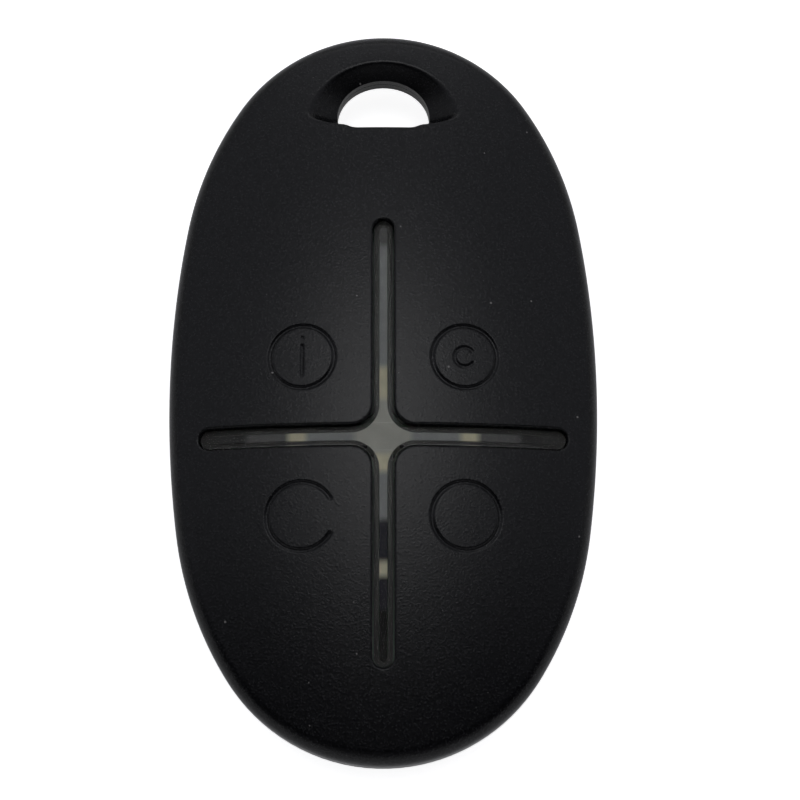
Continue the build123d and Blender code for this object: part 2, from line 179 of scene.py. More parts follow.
def dome_z(x, y, inset=0.0):
    """Height of the face's dome, offset inwards by inset."""
    barrel = face_across - face_along + np.sqrt((face_along - inset) ** 2 - (y - face_apex_y) ** 2)
    return top_z - face_across + np.sqrt(barrel**2 - x**2)


def half_outline(end_share, sweeps, side):
    """Arcs of the right half of one end, as (centre, radius, start, end) with angles in radians."""
    reach = half_length - side * widest_y
    end_radius = end_share * half_width
    low, high = [math.radians(a) for a in sweeps]
    across = (1 - math.cos(low), math.cos(low) - math.cos(high))
    along = (math.sin(low), math.sin(high) - math.sin(low))
    left_x = half_width - end_radius * math.cos(high)
    left_y = reach - end_radius * (1 - math.sin(high))
    scale = across[0] * along[1] - across[1] * along[0]
    side_radius = (left_x * along[1] - across[1] * left_y) / scale
    shoulder_radius = (across[0] * left_y - along[0] * left_x) / scale
    step = side_radius - shoulder_radius
    side_centre = (half_width - side_radius, widest_y)
    shoulder_centre = (side_centre[0] + step * math.cos(low), widest_y + side * step * math.sin(low))
    end_centre = (0.0, widest_y + side * (reach - end_radius))
    return [(side_centre, side_radius, 0.0, side * low),
            (shoulder_centre, shoulder_radius, side * low, side * high),
            (end_centre, end_radius, side * high, side * math.pi / 2)]


def arc_rays(centre, radius, start, end, spacing, outward=1):
    """Points along an arc with their normals, without its last point: rows of (x, y, nx, ny)."""
    count = max(2, round(abs(end - start) * radius / spacing))
    angles = start + (end - start) * np.arange(count) / count
    cos, sin = np.cos(angles), np.sin(angles)
    return np.column_stack([centre[0] + radius * cos, centre[1] + radius * sin, outward * cos, outward * sin])


def line_rays(start, end, normal, spacing):
    """Points along a line with one normal, without its last point."""
    start, end = np.array(start, float), np.array(end, float)
    count = max(1, round(float(np.linalg.norm(end - start)) / spacing))
    steps = np.arange(count)[:, None] / count
    points = start + (end - start) * steps
    return np.column_stack([points, np.tile(normal, (count, 1))])


def mirrored(rays):
    """Rays mirrored in the long axis, in the opposite order."""
    return rays[::-1] * np.array([-1, 1, -1, 1])


def outline_rays(spacing):
    """The fob's outline as rays, round from its lowest point."""
    lower = half_outline(bottom_end_share, bottom_sweeps, -1)
    upper = half_outline(top_end_share, top_sweeps, 1)
    right = [arc_rays(c, r, end, start, spacing) for c, r, start, end in reversed(lower)]
    right += [arc_rays(c, r, start, end, spacing) for c, r, start, end in upper]
    right = np.vstack(right)
    return np.vstack([right, [[0.0, half_length, 0.0, 1.0]], mirrored(right[1:])])


def hole_rays(spacing):
    """The D-shaped hole as rays whose normals point away from the hole's middle."""
    flat = hole_half_width - hole_corner
    angles = np.linspace(0, math.pi, 61)[:-1]
    cos, sin = np.cos(angles), np.sin(angles)
    normals = np.column_stack([cos / hole_half_width, sin / hole_arch])
    normals /= np.linalg.norm(normals, axis=1)[:, None]
    top = np.column_stack([hole_half_width * cos, hole_middle + hole_arch * sin, normals])
    left = arc_rays((-flat, hole_middle), hole_corner, math.pi, 1.5 * math.pi, spacing)
    base = line_rays((-flat, hole_y), (flat, hole_y), (0, -1), spacing)
    right = arc_rays((flat, hole_middle), hole_corner, 1.5 * math.pi, 2 * math.pi, spacing)
    return np.vstack([top, left, base, right])


def cross_rays(half, corner, spacing):
    """A cross of that half width as rays round from its right tip, with normals pointing out of it."""
    bend = slot_half + slot_corner
    reach = half - slot_half
    tip_x, tip_y = arm_x - slot_half, arm_y - slot_half
    tip = arc_rays((tip_x, 0), half, 0, math.pi / 2, spacing)
    side = line_rays((tip_x, half), (bend, half), (0, 1), spacing * 2)
    hollow = arc_rays((bend, bend), corner, 1.5 * math.pi, math.pi, spacing, -1)
    rise = line_rays((half, bend), (half, tip_y), (1, 0), spacing * 2)
    end = arc_rays((0, tip_y), half, 0, math.pi / 2, spacing)
    quarter = np.vstack([tip, side, hollow, rise, end])
    top = np.array([[0.0, arm_y + reach, 0.0, 1.0]])
    upper = np.vstack([quarter, top, mirrored(quarter)])
    lower = (upper[1:-1] * np.array([1, -1, 1, -1]))[::-1]
    rays = np.vstack([upper, lower])
    rays[:, 1] += cross_y
    return rays


def scoop_rise(x, y):
    """How far above the web the scoop's wall passes over a point in plan."""
    x, y = np.abs(np.atleast_1d(x)), np.atleast_1d(y) - hole_middle
    low, high = np.full(x.shape, -2.5), np.full(x.shape, 9.0)
    for _ in range(40):
        middle = (low + high) / 2
        a = hole_half_width + scoop_side_slope * middle
        b = np.where(y > 0, hole_arch + scoop_top_slope * middle, scoop_low)
        outside = (x / a) ** 2 + (y / b) ** 2 > 1
        low, high = np.where(outside, middle, low), np.where(outside, high, middle)
    return (low + high) / 2


def soft_min(a, b, width):
    """The lower of two heights, with the edge where they meet rounded."""
    near = np.maximum(width - np.abs(a - b), 0) / width
    return np.minimum(a, b) - near**2 * width / 4


def mark_lines(name):
    """Centre lines of one key's marks, as (kind, centre, size, half gap, share of width, share of depth)."""
    sx, sy = quadrants[name]
    x, y = sx * mark_x, cross_y + sy * mark_y
    radius = mark_radius if sy > 0 else low_mark_radius
    lines = [("ring", (x, y), radius, open_ring_gap if name == "lower_left" else 0.0, 1.0, 1.0)]
    if name == "upper_right":
        lines.append(("ring", (x, y), inner_ring_radius, inner_ring_gap, 0.85, 0.7))
    if name == "upper_left":
        lines.append(("bar", (x, y - bar_drop), bar_half_length, 0.0, 0.85, 0.9))
        lines.append(("bar", (x, y + dot_rise), 0.0, 0.0, 0.7, 0.6))
    return lines


all_marks = [line for name in quadrants for line in mark_lines(name)]


def line_distance(x, y, line):
    """Distance of points from the centre line of a mark."""
    kind, (cx, cy), size, gap = line[:4]
    dx, dy = x - cx, y - cy
    if kind == "bar":
        return np.hypot(dx, np.maximum(np.abs(dy) - size, 0))
    away = np.abs(np.hypot(dx, dy) - size)
    if gap:
        end = math.radians(gap)
        tip = np.hypot(dx - size * math.cos(end), np.abs(dy) - size * math.sin(end))
        away = np.where(np.abs(np.arctan2(dy, dx)) < end, tip, away)
    return away


def surface_z(x, y, settings):
    """Height of the face with its scoop and marks, away from the rim and the slot's edge."""
    x, y = np.asarray(x, float), np.asarray(y, float)
    z = dome_z(x, y)
    near = y > hole_y - 1.0
    if near.any():
        z = z.copy()
        z[near] = soft_min(z[near], web_z + scoop_rise(x[near], y[near]), scoop_edge)
    for line in all_marks:
        half, depth = groove_size(line, settings)
        share = np.clip(line_distance(x, y, line) / half, 0, 1)
        z = z - depth * (0.5 + 0.5 * np.cos(np.pi * share))
    return z


def groove_size(line, settings):
    """Half width and depth of a mark's groove, in millimetres."""
    return settings.groove_half / MM * line[4], settings.groove_depth / MM * line[5]


def surface_normals(x, y, settings, step=0.004):
    """Normals of the face from its slopes."""
    dx = (surface_z(x + step, y, settings) - surface_z(x - step, y, settings)) / (2 * step)
    dy = (surface_z(x, y + step, settings) - surface_z(x, y - step, settings)) / (2 * step)
    normals = np.column_stack([-dx, -dy, np.ones(len(dx))])
    return normals / np.linalg.norm(normals, axis=1)[:, None]


def on_face(flat, settings):
    """Points of the face above places in plan, and its normals there."""
    x, y = flat[:, 0], flat[:, 1]
    return np.column_stack([flat, surface_z(x, y, settings)]), surface_normals(x, y, settings)


def levelled(directions):
    """Level directions in space from directions in plan."""
    return np.column_stack([directions, np.zeros(len(directions))])


def inside(points, loop):
    """Whether points lie inside a closed loop of points, both in plan."""
    x, y = points[:, 0][:, None], points[:, 1][:, None]
    ax, ay = loop[:, 0][None], loop[:, 1][None]
    bx, by = np.roll(loop[:, 0], -1)[None], np.roll(loop[:, 1], -1)[None]
    crosses = (ay > y) != (by > y)
    rise = np.where(by == ay, 1e-9, by - ay)
    return (crosses & (x < (bx - ax) * (y - ay) / rise + ax)).sum(axis=1) % 2 == 1


def loop_distance(points, loop):
    """Distance of points from a closed loop of points."""
    best = np.full(len(points), 1e9)
    starts, ends = loop, np.roll(loop, -1, axis=0)
    for a, b in zip(starts, ends):
        d = b - a
        t = np.clip((points - a) @ d / max(d @ d, 1e-12), 0, 1)
        best = np.minimum(best, np.linalg.norm(points - a - t[:, None] * d, axis=1))
    return best


class Plan:
    """Points of the face in plan, with their heights and normals, and the lines that join them."""

    def __init__(self):
        self.points = []
        self.normals = []
        self.walls = []
        self.edges = []

    def add(self, points, normals, walls=None):
        """Adds points and gives their numbers."""
        first = len(self.points)
        self.points += [tuple(p) for p in points]
        self.normals += [tuple(n) for n in normals]
        self.walls += [tuple(w) for w in walls] if walls is not None else [(0.0, 0.0, 0.0)] * len(points)
        return list(range(first, len(self.points)))

    def join(self, numbers, closed=True):
        """Joins points in a row."""
        pairs = list(zip(numbers, numbers[1:]))
        if closed:
            pairs.append((numbers[-1], numbers[0]))
        self.edges += pairs


def rim_rows(plan):
    """Rows that roll over the rim, from the side wall up to the dome. Returns the outline."""
    rays = outline_rays(rim_pitch)
    out = rays[:, 2:]
    centre = rays[:, :2] - rim_radius * out
    low = dome_z(centre[:, 0], centre[:, 1], rim_radius)
    step = 0.01
    beyond = centre + step * out
    slope = np.arctan((low - dome_z(beyond[:, 0], beyond[:, 1], rim_radius)) / step)
    for k in range(rim_steps + 1):
        lean = (math.pi / 2 - slope) * k / rim_steps
        cos, sin = np.cos(lean)[:, None], np.sin(lean)
        flat = centre + rim_radius * cos * out
        points = np.column_stack([flat, low + rim_radius * sin])
        normals = np.column_stack([cos * out, sin])
        walls = levelled(out) if k == 0 else None
        plan.join(plan.add(points, normals, walls))
    return rays[:, :2]


def slot_rows(plan, settings):
    """Rows that roll over the slot's edge. Returns the slot's wall as rays, and the rows' numbers."""
    rays = cross_rays(slot_half, slot_corner, slot_pitch)
    edge = settings.slot_edge / MM
    away = rays[:, 2:]
    rows = []
    for k in range(slot_steps + 1):
        lean = math.pi / 2 * k / slot_steps
        flat = rays[:, :2] + edge * (1 - math.cos(lean)) * away
        z = dome_z(flat[:, 0], flat[:, 1]) - edge * (1 - math.sin(lean))
        face = surface_normals(flat[:, 0], flat[:, 1], settings)
        normals = face * math.sin(lean)
        normals[:, :2] -= away * math.cos(lean)
        walls = levelled(-away) if k == 0 else None
        rows.append(plan.add(np.column_stack([flat, z]), normals, walls))
        plan.join(rows[-1])
    return rays, rows


def hinge_corner(side_x, side_y):
    """Where two hinge lines meet beyond an arm's tip."""
    return (side_x * hinge_reach / hinge_nx, cross_y + side_y * hinge_reach / hinge_ny)


def face_points(x, y, outline, settings):
    """Points and normals of the face at places in plan, on the rim's roll too."""
    flat = np.column_stack([x, y])
    points, normals = on_face(flat, settings)
    for k, place in enumerate(flat):
        nearest = nearest_on(place, outline)
        gap = float(np.linalg.norm(nearest - place))
        if gap > rim_radius:
            continue
        out = (nearest - place) / max(gap, 1e-9)
        centre = nearest - rim_radius * out
        lean = math.acos(max(1 - gap / rim_radius, 0.0))
        rolled = float(dome_z(centre[0], centre[1], rim_radius)) + rim_radius * math.sin(lean)
        if rolled < points[k, 2]:
            points[k, 2] = rolled
            normals[k] = (out[0] * math.cos(lean), out[1] * math.cos(lean), math.sin(lean))
    return points, normals


def nearest_on(place, loop):
    """The nearest point of a closed loop."""
    ends = np.roll(loop, -1, axis=0)
    along = ends - loop
    t = np.clip(((place - loop) * along).sum(axis=1) / np.maximum((along**2).sum(axis=1), 1e-12), 0, 1)
    spots = loop + t[:, None] * along
    return spots[int(np.argmin(np.linalg.norm(spots - place, axis=1)))]


def ring_points(line, half):
    """Points that follow a mark's groove, a row for each offset from its centre line."""
    kind, (cx, cy), size, gap = line[:4]
    offsets = half * np.linspace(-mark_reach, mark_reach, mark_rows)
    if kind == "ring":
        count = max(28, round(2 * math.pi * size / mark_pitch))
        angles = 2 * math.pi * np.arange(count) / count
        return [np.column_stack([cx + (size + o) * np.cos(angles), cy + (size + o) * np.sin(angles)])
                for o in offsets]
    end = size + mark_reach * half
    rows = np.linspace(-end, end, mark_rows + round(2 * size / mark_pitch))
    return [np.column_stack([np.full(len(rows), cx + o), cy + rows]) for o in offsets]


def scoop_points():
    """Points down the scoop's wall and along its rim, as rows from the web to beyond the rim."""
    turns = np.linspace(*np.radians(scoop_turns), scoop_count)
    cos, sin = np.cos(turns), np.sin(turns)
    low, high = np.zeros(len(turns)), np.full(len(turns), 6.0)
    for _ in range(40):
        rise = (low + high) / 2
        x, y = scoop_wall(cos, sin, rise)
        under = web_z + rise < dome_z(x, y)
        low, high = np.where(under, rise, low), np.where(under, high, rise)
    rim = (low + high) / 2
    return [np.column_stack(scoop_wall(cos, sin, rim * share)) for share in scoop_shares]


def scoop_wall(cos, sin, rise):
    """The scoop's wall in plan at a rise above the web."""
    b = np.where(sin > 0, hole_arch + scoop_top_slope * rise, scoop_low)
    return (hole_half_width + scoop_side_slope * rise) * cos, hole_middle + b * sin


def build_plan(settings):
    """The whole face in plan: its points and lines, the outline, the slot's wall and the hole."""
    plan = Plan()
    outline = rim_rows(plan)
    slot, slot_numbers = slot_rows(plan, settings)
    rays = hole_rays(hole_pitch)
    hole = rays[:, :2]
    plan.join(plan.add(*on_face(hole, settings), levelled(-rays[:, 2:])))
    outer_slot = np.array([plan.points[n][:2] for n in slot_numbers[-1]])

    def place(points, joined=False, hole_gap=clear_hole):
        """Adds face points that lie clear of the hole, the rim and the slot."""
        keep = ~inside(points, hole) & (loop_distance(points, hole) > hole_gap)
        keep &= ~inside(points, outer_slot) & (loop_distance(points, outer_slot) > clear_slot)
        keep &= inside(points, outline) & (loop_distance(points, outline) > clear_rim)
        numbers = plan.add(*on_face(points[keep], settings))
        if joined and keep.all():
            plan.join(numbers)

    for line in all_marks:
        for row in ring_points(line, groove_size(line, settings)[0]):
            place(row, joined=line[0] == "ring")
    for row in scoop_points():
        place(row)
    hinge_lines(plan, slot_numbers, outline, settings)
    grid_points(place, np.array(plan.points)[:, :2])
    return plan, outline, slot, hole


def hinge_lines(plan, slot_numbers, outline, settings):
    """The lines that part the keys' skins from the case's, from each arm's tip outwards."""
    corners = [hinge_corner(1, 0), hinge_corner(0, 1), hinge_corner(-1, 0), hinge_corner(0, -1)]
    flat = np.array(corners)
    numbers = plan.add(*face_points(flat[:, 0], flat[:, 1], outline, settings))
    for k, start in enumerate(numbers):
        end = numbers[(k + 1) % 4]
        a, b = np.array(corners[k]), np.array(corners[(k + 1) % 4])
        steps = np.arange(1, hinge_parts)[:, None] / hinge_parts
        between = a + (b - a) * steps
        between = between[loop_distance(between, outline) > rim_radius]
        made = plan.add(*face_points(between[:, 0], between[:, 1], outline, settings))
        plan.join([start] + made + [end], closed=False)
    tips = [(arm_x, cross_y), (0.0, cross_y + arm_y), (-arm_x, cross_y), (0.0, cross_y - arm_y)]
    wall = np.array([plan.points[n][:2] for n in slot_numbers[0]])
    for tip, corner in zip(tips, numbers):
        nearest = int(np.argmin(np.linalg.norm(wall - np.array(tip), axis=1)))
        plan.join([row[nearest] for row in slot_numbers] + [corner], closed=False)


def grid_points(place, others):
    """Even rows of points over the rest of the face."""
    rows = []
    for row, y in enumerate(np.arange(-half_length, half_length, grid_pitch * math.sqrt(3) / 2)):
        xs = np.arange(-half_width + grid_pitch / 2 * (row % 2), half_width, grid_pitch)
        rows.append(np.column_stack([xs, np.full(len(xs), y)]))
    grid = np.vstack(rows)
    batch = 400
    for start in range(0, len(grid), batch):
        part = grid[start:start + batch]
        gaps = np.linalg.norm(part[:, None] - others[None], axis=2).min(axis=1)
        place(part[gaps > grid_gap], hole_gap=clear_hole_grid)


def under_z(points, outline, hole):
    """Height of the skin's underside: the wall's inside, the lap and the foot of the side wall."""
    flat = points[:, :2]
    edge = loop_distance(flat, outline)
    z = dome_z(flat[:, 0], flat[:, 1], face_wall)
    block = (flat[:, 0] / block_half) ** 2 + ((flat[:, 1] - hole_middle) / block_arch) ** 2 < 1
    block |= flat[:, 1] > hole_middle
    lip = block & (loop_distance(flat, hole) < lip_width)
    z = np.where(lip, parting_z + lip_rise, np.where(block, parting_z, z))
    z = np.where(edge < side_wall + 0.1, np.minimum(lap_top, points[:, 2] - 0.1), z)
    return np.where(edge < skirt_wall, parting_z, z)


def skin_mesh(name, plan_points, normals, walls, faces, bottom):
    """A closed shell from triangles in plan: face, underside and walls, with smooth exact normals."""
    used = sorted({i for f in faces for i in f})
    index = {old: new for new, old in enumerate(used)}
    count = len(used)
    top = [plan_points[i] for i in used]
    low = [(plan_points[i][0], plan_points[i][1], bottom[i]) for i in used]
    polys, loops = [], []
    edges = {}
    for f in faces:
        polys.append([index[i] for i in f])
        loops += [normals[i] for i in f]
        for a, b in zip(f, f[1:] + f[:1]):
            edges[(a, b)] = True
    down = (0.0, 0.0, -1.0)
    for f in faces:
        polys.append([index[i] + count for i in reversed(f)])
        loops += [down] * 3
    for a, b in edges:
        if (b, a) in edges:
            continue
        polys.append([index[b], index[a], index[a] + count, index[b] + count])
        flat = Vector((plan_points[b][1] - plan_points[a][1], plan_points[a][0] - plan_points[b][0], 0))
        flat = tuple(flat.normalized())
        walled = any(walls[a]) and any(walls[b])
        na, nb = (walls[a], walls[b]) if walled else (flat, flat)
        loops += [nb, na, na, nb]
    return shell(name, [Vector(p) * MM for p in top + low], polys, loops)


def shell(name, points, polys, loops=None):
    """A mesh object with smooth faces and, where given, its own normals at each corner."""
    mesh = bpy.data.meshes.new(name)
    mesh.from_pydata([tuple(p) for p in points], [], polys)
    mesh.polygons.foreach_set("use_smooth", [True] * len(mesh.polygons))
    mesh.update()
    if loops is not None:
        mesh.normals_split_custom_set([tuple(Vector(n).normalized()) for n in loops])
    obj = bpy.data.objects.new(name, mesh)
    bpy.context.scene.collection.objects.link(obj)
    return obj


def ringed_prism(name, rays, rows, floor):
    """A closed shell from a loop of rays and rows of (inset, height of each point, lean), up to a middle."""
    plan = Plan()
    made = []
    for inset, heights, lean in rows:
        flat = rays[:, :2] - inset * rays[:, 2:]
        normals = np.column_stack([rays[:, 2:] * math.cos(lean), np.full(len(rays), math.sin(lean))])
        walls = levelled(rays[:, 2:]) if not made else None
        made.append(plan.add(np.column_stack([flat, heights(flat)]), normals, walls))
        plan.join(made[-1])
    faces = triangles(plan, None)
    points = np.array(plan.points)
    centres = np.array([points[f, :2].mean(axis=0) for f in faces])
    keep = inside(centres, points[made[0], :2])
    faces = [upward(f, points) for f, k in zip(faces, keep) if k]
    bottom = floor(points[:, :2])
    return skin_mesh(name, plan.points, plan.normals, plan.walls, faces, bottom)


def triangles(plan, made_points):
    """Triangles between a plan's points and lines, with points added where lines cross."""
    flat = [Vector(p[:2]) for p in plan.points]
    verts, _, faces, sources, _, _ = delaunay_2d_cdt(flat, plan.edges, [], 0, 1e-7)
    numbers = []
    for place, source in zip(verts, sources):
        if source:
            numbers.append(source[0])
        else:
            numbers += plan.add(*made_points(np.array([place.x]), np.array([place.y])))
    return [[numbers[i] for i in face] for face in faces]


def upward(face, points):
    """The face with its corners in the order that makes it face up."""
    a, b, c = (points[i] for i in face)
    turn = (b[0] - a[0]) * (c[1] - a[1]) - (b[1] - a[1]) * (c[0] - a[0])
    return face if turn > 0 else face[::-1]


def lathe(profile, centre, sides):
    """Points and faces of a closed turned piece from (radius, height) pairs, top and bottom on the axis."""
    points, polys = [], []
    for radius, z in profile:
        for k in range(sides):
            a = 2 * math.pi * k / sides
            points.append((centre[0] + radius * math.cos(a), centre[1] + radius * math.sin(a), z))
    for row in range(len(profile) - 1):
        for k in range(sides):
            n = (k + 1) % sides
            polys.append([row * sides + k, row * sides + n, (row + 1) * sides + n, (row + 1) * sides + k])
    polys.append(list(range(sides))[::-1])
    polys.append([(len(profile) - 1) * sides + k for k in range(sides)])
    return points, polys


# Materials

grain_rise = 0.3  # a share of the grain's width
dust_pitch = 3.7 * MM
dust_offset = (1.9 * MM, 2.4 * MM, 0.0)
dust_radius = 0.026  # the largest speck's, as a share of the pitch


def linear(code):
    """A linear colour from an sRGB hex value."""
    values = [int(code[i:i + 2], 16) / 255 for i in (1, 3, 5)]
    return tuple(v / 12.92 if v <= 0.04045 else ((v + 0.055) / 1.055) ** 2.4 for v in values) + (1.0,)


def add_node(tree, kind, settings=None, into=None, **links):
    """Adds a node, sets its settings and links its inputs, given by name or as _ and a number, and its output.

    A link comes from a node, a socket or a constant. The setting stops holds a ramp's places and hex colours.
    """
    node = tree.nodes.new(kind)
    for key, value in (settings or {}).items():
        if key == "stops":
            elements = node.color_ramp.elements
            while len(elements) < len(value):
                elements.new(0.5)
            for element, (at, code) in zip(elements, value):
                element.position = at
                element.color = linear(code)
        elif key in node.inputs.keys():
            node.inputs[key].default_value = value
        else:
            setattr(node, key, value)
    for key, source in links.items():
        socket = node.inputs[int(key[1:])] if key[0] == "_" else node.inputs[key]
        if isinstance(source, (int, float)):
            socket.default_value = source
        else:
            tree.links.new(source.outputs[0] if isinstance(source, bpy.types.Node) else source, socket)
    if into:
        tree.links.new(node.outputs[0], into)
    return node


def new_material(name):
    """An empty node material with its shader and the place in object coordinates."""
    material = bpy.data.materials.new(name)
    material.use_nodes = True
    tree = material.node_tree
    tree.nodes.clear()
    shader = add_node(tree, "ShaderNodeBsdfPrincipled")
    add_node(tree, "ShaderNodeOutputMaterial", Surface=shader)
    place = add_node(tree, "ShaderNodeTexCoord").outputs["Object"]
    return material, tree, shader, place


def set_shader(shader, **values):
    """Sets the shader's sockets by name, with __ for a space."""
    for key, value in values.items():
        shader.inputs[key.replace("__", " ")].default_value = value


def moulded_black_abs(name, settings, dust=True):
    """Black ABS from a spark-eroded mould: a dull skin whose grain breaks the sheen into fine points.

    The real grain, about 0.03 mm wide, is too fine to show, so it is drawn as wide as the settings say.
    """
    material, tree, shader, place = new_material(name)
    grain = add_node(tree, "ShaderNodeTexNoise",
                     {"Scale": 1 / settings.grain, "Detail": 3.0, "Roughness": 0.65}, Vector=place)
    add_node(tree, "ShaderNodeBump",
             {"Strength": settings.grain_strength, "Distance": settings.grain * grain_rise},
             shader.inputs["Normal"], Height=grain)
    add_node(tree, "ShaderNodeMapRange", {"From Min": 0.3, "From Max": 0.7, "To Min": 0.18, "To Max": 0.3},
             shader.inputs["Roughness"], Value=grain)
    add_node(tree, "ShaderNodeMapRange", {"From Min": 0.35, "From Max": 0.65, "To Min": 0.16, "To Max": 0.23},
             shader.inputs["Specular IOR Level"], Value=grain)
    colour = add_node(tree, "ShaderNodeValToRGB",
                      {"stops": ((0.35, settings.plastic_dark), (0.65, settings.plastic_light))},
                      shader.inputs["Base Color"], Fac=grain)
    set_shader(shader, IOR=1.54)
    if dust:
        # Specks of dust: small round spots in a few of a wide pattern's cells
        shifted = add_node(tree, "ShaderNodeMapping", {"Location": dust_offset}, Vector=place)
        cells = add_node(tree, "ShaderNodeTexVoronoi", {"voronoi_dimensions": "2D", "Scale": 1 / dust_pitch},
                         Vector=shifted)
        rare = add_node(tree, "ShaderNodeSeparateColor", Color=cells.outputs["Color"])
        size = add_node(tree, "ShaderNodeMapRange", {"From Min": 0.75, "From Max": 1.0, "To Min": 0.0,
                                                     "To Max": dust_radius}, Value=rare)
        spot = add_node(tree, "ShaderNodeMath", {"operation": "LESS_THAN"}, _0=cells.outputs["Distance"],
                        _1=size)
        mix = add_node(tree, "ShaderNodeMix", {"data_type": "RGBA"}, _0=spot, _6=colour)
        mix.inputs[7].default_value = linear(settings.dust)
        tree.links.new(mix.outputs[2], shader.inputs["Base Color"])
    return material


def clear_polycarbonate(name):
    """Clear moulded polycarbonate: the eye looks through it, past a faint surface ripple."""
    material, tree, shader, place = new_material(name)
    ripple = add_node(tree, "ShaderNodeTexNoise", {"Scale": 1 / (1.2 * MM), "Detail": 1.0}, Vector=place)
    add_node(tree, "ShaderNodeBump", {"Strength": 0.25, "Distance": 0.03 * MM}, shader.inputs["Normal"],
             Height=ripple)
    add_node(tree, "ShaderNodeValToRGB", {"stops": ((0.3, "#E8E8E4"), (0.7, "#F4F4F0"))},
             shader.inputs["Base Color"], Fac=ripple)
    set_shader(shader, IOR=1.585, Roughness=0.05, Transmission__Weight=1.0,
               Specular__Tint=(0.02, 0.02, 0.02, 1.0))
    return material


# The light cross's colour is painted in zones of tone along its arms, partly the colours of the parts under it
# and partly painted light and shade: a lamp's window is cream, the crossing pale, the bare channel dark, and
# the arms darker towards their ends as painted shade.
painted_core_tones = {"dark": "#1A1A1B", "shade": "#2E2E38", "dull": "#444446", "dim": "#6E6E70", "milk": "#A6A8AA",
              "pale": "#CCCCC6", "cream": "#F2ECD2"}
core_blend = 0.6
# Each zone is a tone and its end in millimetres from the crossing: up the long arm, outwards on the short ones.
long_arm_low = -20.5
long_arm_zones = (("dark", -14.4), ("shade", -11.7), ("cream", -10.5), ("shade", -7.0), ("milk", -3.0),
                  ("cream", -1.5), ("pale", 3.2), ("cream", 6.0), ("milk", 17.0), ("dim", 20.5))
short_arm_zones = (("pale", 2.4), ("milk", 6.5), ("cream", 8.0), ("dim", 11.5), ("dull", 16.0))


def zoned(tree, source, low, zones):
    """A row of tones along an arm, from low onwards, with a short blend between neighbours."""
    high = zones[-1][1]
    along = add_node(tree, "ShaderNodeMapRange", {"From Min": low * MM, "From Max": high * MM}, Value=source)
    stops, start = [], low
    for tone, end in zones:
        for at in (start + core_blend / 2, end - core_blend / 2):
            stops.append(((at - low) / (high - low), painted_core_tones[tone]))
        start = end
    return add_node(tree, "ShaderNodeValToRGB", {"stops": stops}, Fac=along)


def frosted_polycarbonate(name):
    """Frosted moulded polycarbonate: cloudy, with tones painted in zones along its arms for the parts under it
    and for painted light and shade.
    """
    material, tree, shader, place = new_material(name)
    parts = add_node(tree, "ShaderNodeSeparateXYZ", Vector=place)
    up = add_node(tree, "ShaderNodeMath", {"operation": "SUBTRACT"}, _0=parts.outputs[1], _1=cross_y * MM)
    out = add_node(tree, "ShaderNodeMath", {"operation": "ABSOLUTE"}, _0=parts)
    off = add_node(tree, "ShaderNodeMath", {"operation": "ABSOLUTE"}, _0=up)
    pick = add_node(tree, "ShaderNodeMapRange", {"From Min": 0.6 * MM, "From Max": 1.4 * MM,
                                                 "interpolation_type": "SMOOTHSTEP"}, Value=off)
    # Painted zones of tone: the parts under the cross, with painted light and shade, darker towards the arms'
    # ends
    mix = add_node(tree, "ShaderNodeMix", {"data_type": "RGBA"}, _0=pick,
                   _6=zoned(tree, out, 0.0, short_arm_zones), _7=zoned(tree, up, long_arm_low, long_arm_zones))
    tree.links.new(mix.outputs[2], shader.inputs["Base Color"])
    cloud = add_node(tree, "ShaderNodeTexNoise", {"Scale": 1 / (0.3 * MM), "Detail": 2.0}, Vector=place)
    add_node(tree, "ShaderNodeBump", {"Strength": 0.4, "Distance": 0.04 * MM}, shader.inputs["Normal"],
             Height=cloud)
    set_shader(shader, IOR=1.585, Roughness=0.6, Specular__IOR__Level=0.06)
    return material


def plain_moulding(name, dark, light, pitch, roughness, ior):
    """A moulded, pressed or etched surface: two close tones and a fine bump at a pitch in millimetres."""
    material, tree, shader, place = new_material(name)
    noise = add_node(tree, "ShaderNodeTexNoise", {"Scale": 1 / (pitch * MM), "Detail": 3.0}, Vector=place)
    add_node(tree, "ShaderNodeValToRGB", {"stops": ((0.3, dark), (0.7, light))}, shader.inputs["Base Color"],
             Fac=noise)
    add_node(tree, "ShaderNodeBump", {"Strength": 0.3, "Distance": pitch * 0.1 * MM}, shader.inputs["Normal"],
             Height=noise)
    set_shader(shader, Roughness=roughness, IOR=ior)
    return material


def brushed_metal(name, dark, light, roughness):
    """Rolled or brushed sheet metal: fine lines along the rolling direction stretch its highlights.

    Real brushing is about 0.05 mm wide, too fine to show, so its lines are drawn 0.4 mm wide and 6 mm long.
    """
    material, tree, shader, place = new_material(name)
    stretch = add_node(tree, "ShaderNodeMapping", {"Scale": (1 / (0.4 * MM), 1 / (6 * MM), 1 / (0.4 * MM))},
                       Vector=place)
    lines = add_node(tree, "ShaderNodeTexNoise", {"Scale": 1.0, "Detail": 3.0}, Vector=stretch)
    add_node(tree, "ShaderNodeValToRGB", {"stops": ((0.3, dark), (0.7, light))}, shader.inputs["Base Color"],
             Fac=lines)
    add_node(tree, "ShaderNodeBump", {"Strength": 0.2, "Distance": 0.02 * MM}, shader.inputs["Normal"],
             Height=lines)
    set_shader(shader, Roughness=roughness, Metallic=1.0)
    return material


def finish(obj, material):
    """Gives an object one material."""
    obj.data.materials.clear()
    obj.data.materials.append(material)


# Settings

